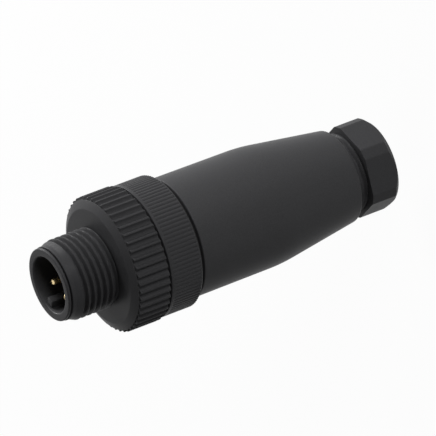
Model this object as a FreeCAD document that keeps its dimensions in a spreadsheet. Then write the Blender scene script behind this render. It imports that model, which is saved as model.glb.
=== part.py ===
import FreeCAD, Part
import math
import os
import re
import Sketcher
from FreeCAD import Placement, Rotation, Vector

# Straight male M12 connector for field wiring, four pins, screw terminals and a cable gland.
# It stands on its gland nut: Z runs up the axis to the mating face, X points to the coding key.

# Driving sizes in millimetres, angles in degrees

SIZES = (
    ("gland_head", 4.8, "gland nut: hexagon, along the axis"),
    ("gland_flats", 12.6, "gland nut: across the six spanner flats"),
    ("gland_corner_flats", 13.6, "gland nut: across the six flattened corners"),
    ("gland_rim", 0.8, "gland nut: height of the turned rim"),
    ("gland_end_radius", 6.1, "gland nut: radius of the end face it stands on"),
    ("gland_bore_radius", 3.4, "gland nut: cable bore"),
    ("gland_shank_radius", 6.0, "gland nut: crest of its thread"),
    ("gland_shank_length", 7.5, "gland nut: shank, from the hexagon to its tip"),
    ("gland_turn", 2.0, "gland nut: direction that one flat faces"),
    ("thread_showing", 1.8, "thread between the hexagon and the sleeve, finger tight"),
    ("thrust_ring_height", 1.0, "thrust ring: thickness"),
    ("thrust_ring_play", 0.15, "thrust ring: how far it stands in from the gland's thread"),
    ("cable_seal_bore", 3.1, "cable seal: bore radius"),
    ("sleeve_taper_length", 13.2, "sleeve: taper, from the cable end to the shoulder"),
    ("sleeve_straight_length", 14.6, "sleeve: straight part above the shoulder"),
    ("sleeve_end_wall", 0.9, "sleeve: wall outside the gland's thread at the cable end"),
    ("sleeve_radius", 8.93, "sleeve: outer radius above the shoulder"),
    ("sleeve_end_bevel", 0.35, "sleeve: edge break of the cable end"),
    ("gland_bore_depth", 11.5, "sleeve: bore for the gland nut's thread and the cable seal"),
    ("seal_shoulder", 0.6, "sleeve: wall that the cable seal rests on"),
    ("wire_hole_radius", 3.4, "sleeve: hole from the gland to the wiring room"),
    ("wiring_radius", 7.25, "sleeve: wiring room"),
    ("head_thread_depth", 5.8, "sleeve: threaded bore for the contact carrier"),
    ("flange_gap", 0.8, "gap between the sleeve and the flange, filled by the seal"),
    ("flange_seal_width", 0.9, "flange seal: radial width"),
    ("flange_height", 5.25, "carrier flange: height"),
    ("flange_radius", 9.88, "carrier flange: radius over the fine knurl"),
    ("knurl_count", 100, "carrier flange: fine grooves around it"),
    ("knurl_depth", 0.2, "carrier flange: depth of a fine groove"),
    ("knurl_width", 0.4, "carrier flange: width of a fine groove"),
    ("boss_radius", 7.6, "carrier: crest of the thread that holds the sleeve"),
    ("boss_length", 5.8, "carrier: threaded boss below the flange"),
    ("block_radius", 6.7, "carrier: terminal block"),
    ("block_length", 7.4, "carrier: terminal block below the boss"),
    ("tube_radius", 4.85, "carrier: outside of the shroud, which the coupling nut turns on"),
    ("mouth_radius", 4.2, "carrier: inside of the shroud"),
    ("mouth_depth", 9.6, "carrier: from the mating face to the contact floor"),
    ("lip_radius", 5.4, "carrier: lip that keeps the coupling nut on"),
    ("lip_height", 0.4, "carrier: height of the lip"),
    ("lip_bevel", 0.2, "carrier: edge break of the lip"),
    ("key_width", 1.2, "carrier: width of the coding key"),
    ("key_reach", 1.2, "carrier: how far the coding key stands in from the wall"),
    ("key_drop", 0.4, "carrier: coding key below the mating face"),
    ("nut_gap", 0.25, "end play of the coupling nut, at each end"),
    ("nut_bore_clearance", 0.1, "running clearance of the coupling nut, on the radius"),
    ("nut_turn", 0.8, "coupling nut: direction of one flute at rest"),
    ("grip_stand", 0.22, "coupling nut: how far the ribs stand out beyond the flange"),
    ("grip_height", 5.0, "coupling nut: ribbed grip"),
    ("rib_count", 50, "coupling nut: ribs around the grip"),
    ("flute_depth", 0.35, "coupling nut: depth of a flute between two ribs"),
    ("flute_mouth", 0.94, "coupling nut: width of a flute at the crest of the ribs"),
    ("flute_floor", 0.5, "coupling nut: width of a flute at its floor"),
    ("band_height", 0.2, "coupling nut: plain band above the ribs"),
    ("bevel_width", 1.25, "coupling nut: radial width of the front bevel"),
    ("bevel_height", 0.65, "coupling nut: height of the front bevel"),
    ("thread_radius", 5.95, "coupling nut: crest of the M12 thread"),
    ("thread_length", 5.85, "coupling nut: threaded length"),
    ("nose_radius", 5.5, "coupling nut: plain nose"),
    ("nose_taper", 1.1, "coupling nut: lead-in from nose to thread"),
    ("nose_height", 0.6, "coupling nut: plain nose"),
    ("pin_radius", 0.5, "contact: pin"),
    ("pin_circle", 5.0, "contact: diameter of the circle of pins"),
    ("pin_recess", 1.7, "contact: pin tip below the mating face"),
    ("pin_tip", 0.15, "contact: height of the tapered tip"),
    ("pin_tip_radius", 0.37, "contact: flat of the tapered tip"),
    ("foot_width", 1.2, "contact: width of the foot that joins pin and barrel"),
    ("foot_height", 1.2, "contact: height of the foot"),
    ("contact_depth", 10.0, "contact: pocket in the terminal block"),
    ("barrel_drop", 0.4, "contact: barrel end above the block's end"),
    ("barrel_inner", 2.6, "contact: inner face of the barrel, from the axis"),
    ("barrel_outer", 5.9, "contact: outer face of the barrel, from the axis"),
    ("barrel_width", 2.6, "contact: width of the barrel"),
    ("wire_inner", 3.05, "contact: inner face of the wire hole, from the axis"),
    ("wire_outer", 4.8, "contact: outer face of the wire hole, from the axis"),
    ("wire_width", 1.5, "contact: width of the wire hole"),
    ("wire_depth", 7.0, "contact: depth of the wire hole"),
    ("screw_rise", 3.7, "terminal screw: axis above the block's end"),
    ("screw_radius", 0.7, "terminal screw: radius"),
    ("screw_length", 1.85, "terminal screw: length"),
    ("slot_width", 0.3, "terminal screw: slot"),
    ("slot_depth", 0.5, "terminal screw: slot"),
    ("screw_way_radius", 0.95, "carrier: hole over each terminal screw"),
    ("plate_thickness", 0.25, "clamp plate: thickness"),
    ("plate_length", 3.6, "clamp plate: length"),
    ("plate_lip", 0.35, "clamp plate: lip at its inner end"),
    ("fit", 0.05, "clearance where one piece seats in another, on each side"),
    ("thread_clearance", 0.08, "radial clearance between mating threads"),
)

# Levels along the axis and shared radii, worked out from the driving sizes

LEVELS = (
    ("shank_top", "gland_head + gland_shank_length"),
    ("thrust_foot", "shank_top + fit"),
    ("thrust_top", "thrust_foot + thrust_ring_height"),
    ("sleeve_foot", "gland_head + thread_showing"),
    ("sleeve_shoulder", "sleeve_foot + sleeve_taper_length"),
    ("sleeve_top", "sleeve_shoulder + sleeve_straight_length"),
    ("seal_seat", "sleeve_foot + gland_bore_depth"),
    ("wiring_foot", "seal_seat + seal_shoulder"),
    ("head_thread_foot", "sleeve_top - head_thread_depth"),
    ("flange_foot", "sleeve_top + flange_gap"),
    ("flange_top", "flange_foot + flange_height"),
    ("boss_foot", "flange_foot - boss_length"),
    ("block_foot", "boss_foot - block_length"),
    ("nut_foot", "flange_top + nut_gap"),
    ("grip_top", "nut_foot + grip_height"),
    ("band_top", "grip_top + band_height"),
    ("nut_face", "band_top + bevel_height"),
    ("thread_top", "nut_face + thread_length"),
    ("nose_foot", "thread_top + nose_taper"),
    ("nut_top", "nose_foot + nose_height"),
    ("lip_foot", "nut_top + nut_gap"),
    ("mouth_top", "lip_foot + lip_height"),
    ("mouth_floor", "mouth_top - mouth_depth"),
    ("pin_top", "mouth_top - pin_recess"),
    ("contact_top", "block_foot + contact_depth"),
    ("barrel_foot", "block_foot + barrel_drop"),
    ("foot_foot", "contact_top - foot_height"),
    ("screw_level", "block_foot + screw_rise"),
    ("thrust_ring_radius", "gland_shank_radius - thrust_ring_play"),
    ("sleeve_end_radius", "gland_shank_radius + sleeve_end_wall"),
    ("grip_radius", "flange_radius + grip_stand"),
    ("bevel_outer_radius", "grip_radius - flute_depth"),
    ("bevel_inner_radius", "bevel_outer_radius - bevel_width"),
)

# A distance below this is taken as none

NOTHING = 1e-9

# The direction in which each contact has its pin and its terminal

CONTACTS = (45, 135, 225, 315)

document = FreeCAD.newDocument("m12_connector")
sheet = document.addObject("Spreadsheet::Sheet", "sizes")
levels = document.addObject("Spreadsheet::Sheet", "levels")
SIZE_WORDS = {word for word, _, _ in SIZES}
LEVEL_WORDS = {word for word, _ in LEVELS}


def cells(text):
    """Write each size or level named in an expression as a cell of its sheet."""
    def cell(match):
        word = match.group()
        if word in SIZE_WORDS:
            return "sizes." + word
        if word in LEVEL_WORDS:
            return "levels." + word
        return word
    return re.sub(r"[a-z]\w*", cell, text)


def fill_sheets():
    for row, (word, amount, note) in enumerate(SIZES, start=1):
        sheet.set("A%d" % row, note)
        sheet.set("B%d" % row, str(amount))
        sheet.setAlias("B%d" % row, word)
    document.recompute()
    for row, (word, formula) in enumerate(LEVELS, start=1):
        levels.set("A%d" % row, "=" + cells(formula).replace("levels.", ""))
        levels.setAlias("A%d" % row, word)
    document.recompute()


def value(text):
    """The present value of an expression, as a plain number."""
    result = sheet.evalExpression(cells(text))
    return float(getattr(result, "Value", result))


def bind(thing, path, text):
    thing.setExpression(path, cells(text))


# Sketches and features

def origin_plane(body, role):
    for feature in body.Origin.OriginFeatures:
        if feature.Role == role:
            return feature
    raise ValueError("no plane " + role)


def new_body(label):
    body = document.addObject("PartDesign::Body", label)
    body.Label = label
    return body


def new_sketch(body, name, role, rise="0"):
    """A sketch on one of the body's own planes, raised along that plane's normal."""
    sketch = body.newObject("Sketcher::SketchObject", name)
    sketch.AttachmentSupport = [(origin_plane(body, role), "")]
    sketch.MapMode = "FlatFace"
    if rise != "0":
        bind(sketch, ".AttachmentOffset.Base.z", rise)
    return sketch


def pin_point(sketch, geometry, end, across, along):
    """Tie one point of a sketch to the two distances from the origin."""
    if across == "0":
        sketch.addConstraint(Sketcher.Constraint("PointOnObject", geometry, end, -2))
    else:
        index = sketch.addConstraint(
            Sketcher.Constraint("DistanceX", -1, 1, geometry, end, value(across)))
        bind(sketch, "Constraints[%d]" % index, across)
    if along == "0":
        sketch.addConstraint(Sketcher.Constraint("PointOnObject", geometry, end, -1))
    else:
        index = sketch.addConstraint(
            Sketcher.Constraint("DistanceY", -1, 1, geometry, end, value(along)))
        bind(sketch, "Constraints[%d]" % index, along)


def draw_outline(sketch, corners):
    """A closed outline of straight edges through the corners, each corner tied to the sizes."""
    points = [Vector(value(across), value(along), 0) for across, along in corners]
    count = len(points)
    for index, (start, end) in enumerate(zip(points, points[1:] + points[:1])):
        sketch.addGeometry(Part.LineSegment(start, end), False)
        if index:
            sketch.addConstraint(Sketcher.Constraint("Coincident", index - 1, 2, index, 1))
    sketch.addConstraint(Sketcher.Constraint("Coincident", count - 1, 2, 0, 1))
    for index, (across, along) in enumerate(corners):
        pin_point(sketch, index, 1, across, along)


def turn(body, name, corners, cut=False):
    """Revolve an outline of radius and height around the axis."""
    sketch = new_sketch(body, name + "_outline", "XZ_Plane")
    draw_outline(sketch, corners)
    feature = body.newObject("PartDesign::Groove" if cut else "PartDesign::Revolution", name)
    feature.Profile = sketch
    feature.ReferenceAxis = (sketch, ["V_Axis"])
    feature.Angle = 360
    document.recompute()
    return feature


def raise_prism(body, name, sketch, length):
    feature = body.newObject("PartDesign::Pad", name)
    feature.Profile = sketch
    bind(feature, "Length", length)
    document.recompute()
    return feature


def cut_prism(body, name, sketch, length):
    """Cut upward from the sketch, and make sure that it removed something."""
    before = body.Tip.Shape.Volume
    feature = body.newObject("PartDesign::Pocket", name)
    feature.Profile = sketch
    feature.Reversed = True
    bind(feature, "Length", length)
    document.recompute()
    if feature.Shape.Volume >= before:
        raise ValueError(name + " removes nothing")
    return feature


def repeat_around(body, name, feature, sketch, count):
    pattern = body.newObject("PartDesign::PolarPattern", name)
    pattern.Originals = [feature]
    pattern.Axis = (sketch, ["N_Axis"])
    pattern.Angle = 360
    bind(pattern, "Occurrences", count)
    body.Tip = pattern
    document.recompute()
    return pattern


# Plain solids for small pieces and pockets

def block(name, corner, spans):
    """A box from its lowest corner and its three spans."""
    solid = document.addObject("Part::Box", name)
    for axis, place in zip("xyz", corner):
        bind(solid, ".Placement.Base." + axis, place)
    for side, span in zip(("Length", "Width", "Height"), spans):
        bind(solid, side, span)
    return solid


def rod(name, foot, radius, height, lying=False):
    """A cylinder that stands on its foot, or lies along X from it."""
    solid = document.addObject("Part::Cylinder", name)
    if lying:
        solid.Placement = Placement(Vector(), Rotation(Vector(0, 1, 0), 90))
    for axis, place in zip("xyz", foot):
        bind(solid, ".Placement.Base." + axis, place)
    bind(solid, "Radius", radius)
    bind(solid, "Height", height)
    return solid


def point_of(name, foot, wide, narrow, height):
    """A cone that stands on its foot."""
    solid = document.addObject("Part::Cone", name)
    for axis, place in zip("xyz", foot):
        bind(solid, ".Placement.Base." + axis, place)
    bind(solid, "Radius1", wide)
    bind(solid, "Radius2", narrow)
    bind(solid, "Height", height)
    return solid


def join(name, solids):
    union = document.addObject("Part::MultiFuse", name)
    union.Shapes = solids
    return union


def subtract(name, base, tool):
    cut = document.addObject("Part::Cut", name)
    cut.Base = base
    cut.Tool = tool
    return cut


def turned_to(solid, direction):
    solid.Placement = Placement(Vector(), Rotation(Vector(0, 0, 1), direction))
    return solid


# Gland nut, thrust ring and cable seal

def hexagon(across_flats, turned):
    """Six corners of a hexagon, with a flat or a corner toward X."""
    corners = []
    for index in range(6):
        angle = 60 * index + (30 if turned else 0)
        reach = "%s / 2 / cos(30 deg)" % across_flats
        corners.append((
            "%s * cos(%d deg)" % (reach, angle),
            "%s * sin(%d deg)" % (reach, angle),
        ))
    return [tuple("0" if abs(value(part)) < NOTHING else part for part in corner)
            for corner in corners]


def make_gland_nut():
    body = new_body("gland_nut")
    flats = new_sketch(body, "spanner_flats", "XY_Plane")
    draw_outline(flats, hexagon("gland_flats", True))
    raise_prism(body, "hexagon", flats, "gland_head")
    far = "gland_flats"
    for index in range(6):
        corner = new_sketch(body, "corner_flat_%d" % (index + 1), "XY_Plane")
        corner.AttachmentOffset = Placement(Vector(), Rotation(Vector(0, 0, 1), 60 * index + 30))
        draw_outline(corner, (
            ("gland_corner_flats / 2", "-" + far),
            (far, "-" + far),
            (far, far),
            ("gland_corner_flats / 2", far),
        ))
        cut_prism(body, "corner_cut_%d" % (index + 1), corner, "gland_head")
    rim_slope = "gland_rim / (gland_corner_flats / 2 - gland_end_radius)"
    turn(body, "rim", (
        ("gland_end_radius", "0"),
        (far, "0"),
        (far, "%s * (%s - gland_end_radius)" % (rim_slope, far)),
    ), cut=True)
    turn(body, "shank", (
        ("gland_bore_radius", "gland_head / 2"),
        ("gland_shank_radius", "gland_head / 2"),
        ("gland_shank_radius", "shank_top"),
        ("gland_bore_radius", "shank_top"),
    ))
    turn(body, "cable_bore", (
        ("0", "0"),
        ("gland_bore_radius", "0"),
        ("gland_bore_radius", "shank_top"),
        ("0", "shank_top"),
    ), cut=True)
    bind(body, ".Placement.Rotation.Angle", "gland_turn * 1 deg")
    return body


def make_thrust_ring():
    body = new_body("thrust_ring")
    turn(body, "washer", (
        ("gland_bore_radius", "thrust_foot"),
        ("thrust_ring_radius", "thrust_foot"),
        ("thrust_ring_radius", "thrust_top"),
        ("gland_bore_radius", "thrust_top"),
    ))
    return body


def make_cable_seal():
    body = new_body("cable_seal")
    turn(body, "rubber_ring", (
        ("cable_seal_bore", "thrust_top + fit"),
        ("gland_shank_radius", "thrust_top + fit"),
        ("gland_shank_radius", "seal_seat - fit"),
        ("cable_seal_bore", "seal_seat - fit"),
    ))
    return body


# Sleeve

def make_sleeve_housing():
    body = new_body("sleeve_housing")
    gland_bore = "gland_shank_radius + thread_clearance"
    head_bore = "boss_radius + thread_clearance"
    turn(body, "shell", (
        (gland_bore, "sleeve_foot"),
        ("sleeve_end_radius - sleeve_end_bevel", "sleeve_foot"),
        ("sleeve_end_radius", "sleeve_foot + sleeve_end_bevel"),
        ("sleeve_radius", "sleeve_shoulder"),
        ("sleeve_radius", "sleeve_top"),
        (head_bore, "sleeve_top"),
        (head_bore, "head_thread_foot"),
        ("wiring_radius", "head_thread_foot"),
        ("wiring_radius", "wiring_foot"),
        ("wire_hole_radius", "wiring_foot"),
        ("wire_hole_radius", "seal_seat"),
        (gland_bore, "seal_seat"),
    ))
    return body


def make_flange_seal():
    body = new_body("flange_seal")
    inner = "boss_radius + fit"
    outer = "boss_radius + fit + flange_seal_width"
    turn(body, "seal_ring", (
        (inner, "sleeve_top + fit"),
        (outer, "sleeve_top + fit"),
        (outer, "flange_foot - fit"),
        (inner, "flange_foot - fit"),
    ))
    return body


# Contact carrier

def contact_solids(name, grow, barrel_foot, foot_foot):
    """Pin, foot and barrel of one contact, its terminal toward X, grown by a clearance."""
    half = "(foot_width / 2 + %s)" % grow
    pin = rod(name + "_pin", ("pin_circle / 2", "0", "contact_top - fit"), "pin_radius + " + grow,
              "pin_top - pin_tip - contact_top + fit")
    foot = block(
        name + "_foot", ("pin_circle / 2 - " + half, "-" + half, foot_foot),
        ("(barrel_inner + barrel_outer - pin_circle) / 2 + " + half, "2 * " + half,
         "contact_top - (%s)" % foot_foot))
    barrel = block(
        name + "_barrel",
        ("barrel_inner - " + grow, "-(barrel_width / 2 + %s)" % grow, barrel_foot),
        ("barrel_outer - barrel_inner + 2 * " + grow, "barrel_width + 2 * " + grow,
         "contact_top - (%s)" % barrel_foot))
    return [pin, foot, barrel]


def contact_pocket(number, direction):
    """The room that one contact and its screw take out of the carrier."""
    name = "pocket_%d" % number
    below = "block_foot - fit"
    solids = contact_solids(name, "fit", below, below)
    solids.append(rod(
        name + "_screw_way", ("(barrel_inner + barrel_outer) / 2", "0", "screw_level"),
        "screw_way_radius", "block_radius", lying=True))
    return turned_to(join(name, solids), direction)


def make_carrier_moulding():
    """The turned outline of the carrier with its key and knurl, before the contact pockets."""
    body = new_body("carrier_moulding")
    turn(body, "moulding", (
        ("0", "block_foot"),
        ("block_radius", "block_foot"),
        ("block_radius", "boss_foot"),
        ("boss_radius", "boss_foot"),
        ("boss_radius", "flange_foot"),
        ("flange_radius", "flange_foot"),
        ("flange_radius", "flange_top"),
        ("tube_radius", "flange_top"),
        ("tube_radius", "lip_foot"),
        ("lip_radius", "lip_foot"),
        ("lip_radius", "mouth_top - lip_bevel"),
        ("lip_radius - lip_bevel", "mouth_top"),
        ("mouth_radius", "mouth_top"),
        ("mouth_radius", "mouth_floor"),
        ("0", "mouth_floor"),
    ))
    key = new_sketch(body, "key_outline", "XY_Plane", "mouth_floor")
    wall_middle = "(mouth_radius + tube_radius) / 2"
    draw_outline(key, (
        ("mouth_radius - key_reach", "-key_width / 2"),
        (wall_middle, "-key_width / 2"),
        (wall_middle, "key_width / 2"),
        ("mouth_radius - key_reach", "key_width / 2"),
    ))
    raise_prism(body, "coding_key", key, "mouth_depth - key_drop")
    groove = new_sketch(body, "knurl_outline", "XY_Plane", "flange_foot")
    past = "flange_radius + knurl_depth"
    draw_outline(groove, (
        ("flange_radius - knurl_depth", "0"),
        (past, "-knurl_width"),
        (past, "knurl_width"),
    ))
    knurl = cut_prism(body, "knurl_groove", groove, "flange_height")
    repeat_around(body, "fine_knurl", knurl, groove, "knurl_count")
    return body


def make_contact_carrier():
    pockets = join("contact_pockets", [
        contact_pocket(number, direction) for number, direction in enumerate(CONTACTS, start=1)])
    carrier = subtract("contact_carrier", make_carrier_moulding(), pockets)
    carrier.Label = "contact_carrier"
    return carrier


# Contacts, their screws and clamp plates

def make_contact(number, direction):
    name = "contact_%d" % number
    solids = contact_solids(name, "0", "barrel_foot", "foot_foot")
    tip = point_of(name + "_tip", ("pin_circle / 2", "0", "pin_top - pin_tip"), "pin_radius",
                   "pin_tip_radius", "pin_tip")
    whole = join(name + "_blank", solids + [tip])
    wire_hole = block(
        name + "_wire_hole", ("wire_inner", "-wire_width / 2", "barrel_foot - fit"),
        ("wire_outer - wire_inner", "wire_width", "wire_depth + fit"))
    screw_hole = rod(
        name + "_screw_hole", ("wire_outer - fit", "0", "screw_level"),
        "screw_radius + fit", "barrel_outer - wire_outer + 2 * fit", lying=True)
    contact = subtract(name + "_cut", whole, join(name + "_holes", [wire_hole, screw_hole]))
    contact.Label = "contact_pin_%d" % number
    return turned_to(contact, direction)


def make_clamp_plate(number, direction):
    name = "plate_%d" % number
    width = "wire_width - 2 * fit"
    inner_face = "wire_outer - fit - plate_thickness"
    foot = "screw_level - plate_length / 2"
    leaf = block(name + "_leaf", (inner_face, "-(%s) / 2" % width, foot),
                 ("plate_thickness", width, "plate_length"))
    lip = block(name + "_lip", (inner_face + " - plate_lip", "-(%s) / 2" % width,
                                "screw_level + plate_length / 2 - plate_thickness"),
                ("plate_lip + plate_thickness", width, "plate_thickness"))
    plate = join(name, [leaf, lip])
    plate.Label = "clamp_plate_%d" % number
    return turned_to(plate, direction)


def make_terminal_screw(number, direction):
    name = "screw_%d" % number
    shank = rod(name + "_shank", ("wire_outer", "0", "screw_level"), "screw_radius", "screw_length",
                lying=True)
    slot = block(
        name + "_slot",
        ("wire_outer + screw_length - slot_depth", "-slot_width / 2", "screw_level - screw_radius - fit"),
        ("slot_depth + fit", "slot_width", "2 * (screw_radius + fit)"))
    screw = subtract(name, shank, slot)
    screw.Label = "terminal_screw_%d" % number
    return turned_to(screw, direction)


# Coupling nut

def make_coupling_nut():
    body = new_body("coupling_nut")
    bore = "tube_radius + nut_bore_clearance"
    turn(body, "blank", (
        (bore, "nut_foot"),
        ("grip_radius", "nut_foot"),
        ("grip_radius", "grip_top"),
        ("bevel_outer_radius", "grip_top"),
        ("bevel_outer_radius", "band_top"),
        ("bevel_inner_radius", "nut_face"),
        ("thread_radius", "nut_face"),
        ("thread_radius", "thread_top"),
        ("nose_radius", "nose_foot"),
        ("nose_radius", "nut_top"),
        (bore, "nut_top"),
    ))
    flute = new_sketch(body, "flute_outline", "XY_Plane", "nut_foot")
    past = "flute_mouth - flute_floor / 2"
    draw_outline(flute, (
        ("grip_radius - flute_depth", "-flute_floor / 2"),
        ("grip_radius + flute_depth", "-(%s)" % past),
        ("grip_radius + flute_depth", past),
        ("grip_radius - flute_depth", "flute_floor / 2"),
    ))
    cut = cut_prism(body, "flute", flute, "grip_height")
    repeat_around(body, "ribs", cut, flute, "rib_count")
    bind(body, ".Placement.Rotation.Angle", "nut_turn * 1 deg")
    return body


# Build, check and write

def build_pieces():
    pieces = [
        make_gland_nut(),
        make_thrust_ring(),
        make_cable_seal(),
        make_sleeve_housing(),
        make_flange_seal(),
        make_contact_carrier(),
        make_coupling_nut(),
    ]
    for number, direction in enumerate(CONTACTS, start=1):
        pieces.append(make_contact(number, direction))
        pieces.append(make_clamp_plate(number, direction))
        pieces.append(make_terminal_screw(number, direction))
    return pieces


def check(pieces):
    for thing in document.Objects:
        if "Invalid" in thing.State or "Error" in thing.State:
            raise RuntimeError("%s: %s" % (thing.Label, thing.State))
    for piece in pieces:
        if piece.Shape.isNull() or not piece.Shape.isValid():
            raise RuntimeError(piece.Label + " has no valid shape")
        if len(piece.Shape.Solids) != 1:
            raise RuntimeError("%s has %d solids" % (piece.Label, len(piece.Shape.Solids)))


def main():
    fill_sheets()
    pieces = build_pieces()
    document.recompute()
    check(pieces)
    os.makedirs("parts", exist_ok=True)
    for piece in pieces:
        piece.Shape.exportStep("parts/%s.step" % piece.Label)
    print("%d pieces written" % len(pieces))


main()
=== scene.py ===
import math
from types import SimpleNamespace

import bmesh
import bpy
from bpy.props import FloatProperty, FloatVectorProperty, IntProperty, PointerProperty
from mathutils import Matrix, Vector


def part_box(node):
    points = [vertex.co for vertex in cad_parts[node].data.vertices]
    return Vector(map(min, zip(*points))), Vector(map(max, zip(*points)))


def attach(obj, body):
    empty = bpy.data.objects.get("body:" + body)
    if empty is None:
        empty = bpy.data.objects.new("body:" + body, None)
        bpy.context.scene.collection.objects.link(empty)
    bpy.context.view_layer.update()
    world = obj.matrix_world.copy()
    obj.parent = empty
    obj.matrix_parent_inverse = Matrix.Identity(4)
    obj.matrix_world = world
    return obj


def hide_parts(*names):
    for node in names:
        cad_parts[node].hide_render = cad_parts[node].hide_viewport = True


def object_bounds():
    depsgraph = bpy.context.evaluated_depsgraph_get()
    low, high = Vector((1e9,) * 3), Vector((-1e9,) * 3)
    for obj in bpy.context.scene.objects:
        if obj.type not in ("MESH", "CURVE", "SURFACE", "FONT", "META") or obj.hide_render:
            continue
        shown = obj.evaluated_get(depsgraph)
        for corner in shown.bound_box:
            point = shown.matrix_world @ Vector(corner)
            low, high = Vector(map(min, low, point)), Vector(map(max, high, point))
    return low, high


bl_info = {
    "name": "M12 field connector",
    "version": (1, 0, 0),
    "blender": (4, 5, 0),
    "location": "3D View > Sidebar > Connector",
    "description": "Builds the dressed pieces of a straight four-pin M12 connector over its solid frame",
    "category": "Object",
}

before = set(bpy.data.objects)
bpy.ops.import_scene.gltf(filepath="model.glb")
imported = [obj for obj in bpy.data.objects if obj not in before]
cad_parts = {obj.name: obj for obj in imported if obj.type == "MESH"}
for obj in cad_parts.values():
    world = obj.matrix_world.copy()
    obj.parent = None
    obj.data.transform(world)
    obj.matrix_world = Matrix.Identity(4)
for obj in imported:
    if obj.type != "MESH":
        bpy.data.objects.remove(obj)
cad_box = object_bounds()

# Shapes are modelled in millimetres and written in metres

MM = 0.001
FULL_TURN = 2 * math.pi
TOUCH = 0.001
WHITE = (1, 1, 1, 1)
SMOOTH_ANGLE = 38.0
LAMP_DISTANCE = 0.6

# The direction in which each contact has its pin and its terminal, in degrees

CONTACTS = (45, 135, 225, 315)

# Each softbox: its direction from the object's middle, its width and height in metres, and its power

SOFTBOXES = {
    "key_softbox": ((-0.598, -0.753, 0.275), 0.25, 0.25, 3.4),
    "rim_softbox": ((-0.039, -0.963, 0.267), 0.25, 0.25, 4.0),
    "front_softbox": ((-0.94, 0.3, 0.17), 0.2, 0.14, 2.0),
    "fill_softbox": ((0.732, -0.31, 0.607), 0.25, 0.25, 0.3),
}


def node_mm(node):
    """Lowest and highest corner of a solid, in millimetres."""
    low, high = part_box(node)
    return low / MM, high / MM


def length(name, note, millimetres):
    return FloatProperty(name=name, description=note, default=millimetres * MM, min=0.0,
                         precision=5, unit="LENGTH")


def angle(name, note, degrees):
    return FloatProperty(name=name, description=note, default=math.radians(degrees), subtype="ANGLE")


def count(name, note, number):
    return IntProperty(name=name, description=note, default=number, min=3)


def share(name, note, amount):
    return FloatProperty(name=name, description=note, default=amount, min=0.0, max=1.0, subtype="FACTOR")


def colour(name, note, red, green, blue):
    return FloatVectorProperty(name=name, description=note, default=(red, green, blue),
                               min=0.0, max=1.0, size=3, subtype="COLOR")


NUT_LOW, NUT_HIGH = node_mm("coupling_nut")
CARRIER_LOW, CARRIER_HIGH = node_mm("contact_carrier")
SLEEVE_LOW, SLEEVE_HIGH = node_mm("sleeve_housing")
GLAND_LOW, GLAND_HIGH = node_mm("gland_nut")
THRUST_LOW, THRUST_HIGH = node_mm("thrust_ring")
SEAL_LOW, SEAL_HIGH = node_mm("cable_seal")
RING_LOW, RING_HIGH = node_mm("flange_seal")
PIN_LOW, PIN_HIGH = node_mm("contact_pin_1")


# A flute's depth from its middle to the crest of the rib, as shares, over half of its steps

RIB_STEPS = 10
FLUTE = (1.0, 0.96, 0.84, 0.6, 0.08, 0.0)


class CouplingNutSizes(bpy.types.PropertyGroup):
    foot: length("Foot", "Height of the nut's rear face", NUT_LOW.z)
    top: length("Top", "Height of the nose's end", NUT_HIGH.z)
    grip_radius: length("Grip radius", "Radius over the ribs", NUT_HIGH.x)
    grip_height: length("Grip height", "Height of the ribbed grip", 5.0)
    flutes: count("Flutes", "Number of flutes around the grip", 50)
    flute_depth: length("Flute depth", "Depth of a flute", 0.5)
    line_depth: length("Line depth", "Depth of the turned line above the ribs", 0.5)
    line_width: length("Line width", "Width of the turned line above the ribs", 0.2)
    band_drop: length("Band drop", "Plain band below the crests of the ribs", 0.35)
    bevel_width: length("Bevel width", "Radial width of the front bevel", 1.25)
    bevel_height: length("Bevel height", "Height of the front bevel", 0.65)
    thread_radius: length("Thread radius", "Crest radius of the M12 thread", 5.95)
    thread_depth: length("Thread depth", "Depth of the M12 thread", 0.7)
    thread_pitch: length("Thread pitch", "Pitch of the M12 thread", 1.0)
    thread_length: length("Thread length", "Threaded length at full radius", 5.85)
    thread_relief: length("Thread relief", "Relief between the front face and the thread", 0.3)
    thread_fade: length("Thread fade", "Height over which the thread runs out", 0.5)
    thread_start: angle("Thread start", "Direction in which the thread begins", 231.5)
    nose_radius: length("Nose radius", "Radius of the plain nose", 5.5)
    nose_height: length("Nose height", "Height of the plain nose", 0.6)
    bore_radius: length("Bore radius", "Radius of the bore that turns on the shroud", 4.95)


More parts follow.
